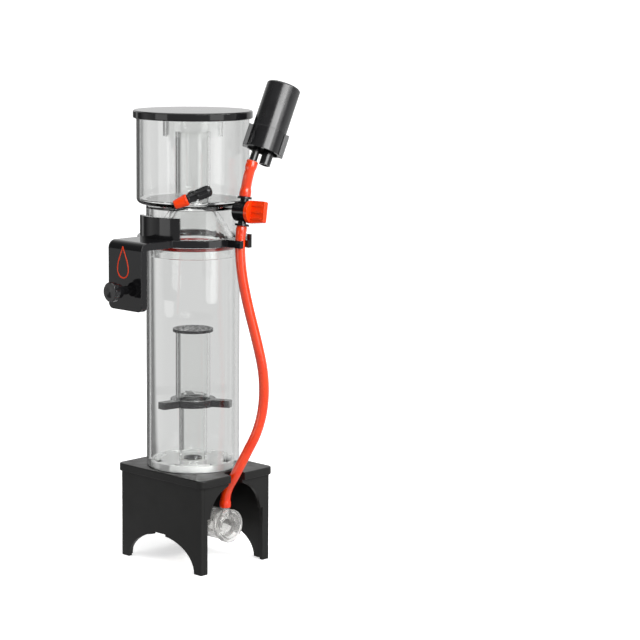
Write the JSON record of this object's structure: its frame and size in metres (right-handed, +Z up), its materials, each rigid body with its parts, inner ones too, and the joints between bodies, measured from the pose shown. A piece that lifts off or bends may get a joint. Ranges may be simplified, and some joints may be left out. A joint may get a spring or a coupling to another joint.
{
  "type": "protein skimmer",
  "caption": "Slim aquarium protein skimmer: clear reaction tube on a black pump stand, collection cup, red air line with valve and silencer, and a clamp bracket.",
  "frame": {"origin": "on the reaction tube's axis, at the floor that the stand's feet rest on", "axes": "+Z up along the reaction tube; +X towards the hose side, where the pump draws water; the hanging bracket is on the -Y side"},
  "size_m": [0.1144, 0.1335, 0.3635],
  "materials": {
    "clear": "polished clear acrylic",
    "stand_black": "satin moulded black acrylic",
    "gloss_black": "polished black acrylic",
    "satin_black": "moulded black plastic",
    "red_plastic": "moulded red plastic",
    "red_hose": "glossy red silicone hose",
    "red_rubber": "dark red silicone seal",
    "black_rubber": "black rubber",
    "clear_rubber": "clear silicone sleeve",
    "foam": "open-cell foam",
    "ceramic": "white ceramic, standing in as plastic",
    "magnet": "coated ferrite magnet",
    "steel": "laminated steel",
    "copper": "enamelled copper wire"
  },
  "bodies": {
    "base": {"front_panel": "stand_black", "back_panel": "stand_black", "far_side_panel": "stand_black", "hose_side_front_panel": "stand_black", "hose_side_back_panel": "stand_black", "stand_top_plate": "stand_black", "chamber_tube": "clear", "chamber_floor": "clear", "mixing_pipe": "clear", "diffuser_pipe": "clear", "tube_spider": "satin_black", "bubble_disc": "satin_black", "valve_body": "gloss_black", "air_hose": "red_hose", "silencer_hose": "red_hose", "silencer_base": "gloss_black", "silencer_can": "gloss_black", "silencer_foam": "foam", "venturi_intake": "clear", "pump_volute": "satin_black", "outlet_seal": "clear_rubber", "volute_o_ring": "black_rubber", "front_bush": "black_rubber", "rear_bush": "black_rubber", "motor_housing": "satin_black", "motor_cover": "satin_black", "cable_gland": "black_rubber", "stator_core": "steel", "stator_coils": "copper"},
    "rotor": {"needle_wheel": "satin_black", "rotor_shaft": "ceramic", "rotor_magnet": "magnet"},
    "cup": {"cup_body": "clear", "cup_riser": "clear", "cup_cone": "clear", "neck_seal_ring": "red_rubber", "drain_body": "satin_black", "drain_gasket": "black_rubber", "drain_nut": "satin_black"},
    "cup_lid": {"lid": "gloss_black", "lid_splash_ring": "clear"},
    "drain_handle": {"drain_knob": "satin_black"},
    "drain_plug": {"drain_cap": "red_plastic"},
    "air_knob": {"valve_knob": "red_plastic", "valve_spindle": "satin_black", "valve_o_ring": "black_rubber"},
    "bracket": {"bracket_frame": "gloss_black", "bracket_upright": "gloss_black"},
    "clamp_tip": {"screw_tip": "black_rubber"},
    "clamp_handle": {"clamp_screw": "satin_black"}
  },
  "joints": [
    {"name": "impeller_spin", "type": "hinge", "parent": "base", "child": "rotor", "pos_m": [0, 0, 0.0307], "axis": [1, 0, 0], "continuous": true},
    {"name": "cup_lift", "type": "slide", "parent": "base", "child": "cup", "axis": [0, 0, 1], "range_m": [0, 0.06]},
    {"name": "lid_lift", "type": "slide", "parent": "cup", "child": "cup_lid", "axis": [0, 0, 1], "range_m": [0, 0.03]},
    {"name": "drain_turn", "type": "hinge", "parent": "cup", "child": "drain_handle", "pos_m": [0.0337, -0.032, 0.2797], "axis": [0.6348, 0.6685, 0.3875], "range_deg": [0, 270]},
    {"name": "drain_cap_pull", "type": "slide", "parent": "cup", "child": "drain_plug", "axis": [-0.6348, -0.6685, -0.3875], "range_m": [0, 0.012]},
    {"name": "air_knob_turn", "type": "hinge", "parent": "base", "child": "air_knob", "pos_m": [0.048, 0.0053, 0.268], "axis": [0.9848, 0.1736, 0], "range_deg": [0, 90]},
    {"name": "bracket_slide", "type": "slide", "parent": "base", "child": "bracket", "axis": [0, 0, 1], "range_m": [-0.008, 0.002]},
    {"name": "clamp_feed", "type": "slide", "parent": "bracket", "child": "clamp_tip", "axis": [0, 1, 0], "range_m": [-0.0055, 0.0058]},
    {"name": "clamp_turn", "type": "hinge", "parent": "clamp_tip", "child": "clamp_handle", "pos_m": [0.001, -0.0837, 0.212], "axis": [0, 1, 0], "range_deg": [-1324, 1396]}
  ],
  "couplings": [
    {"joint": "clamp_turn", "follows": "clamp_feed", "rad_per_m": 4188.8}
  ]
}
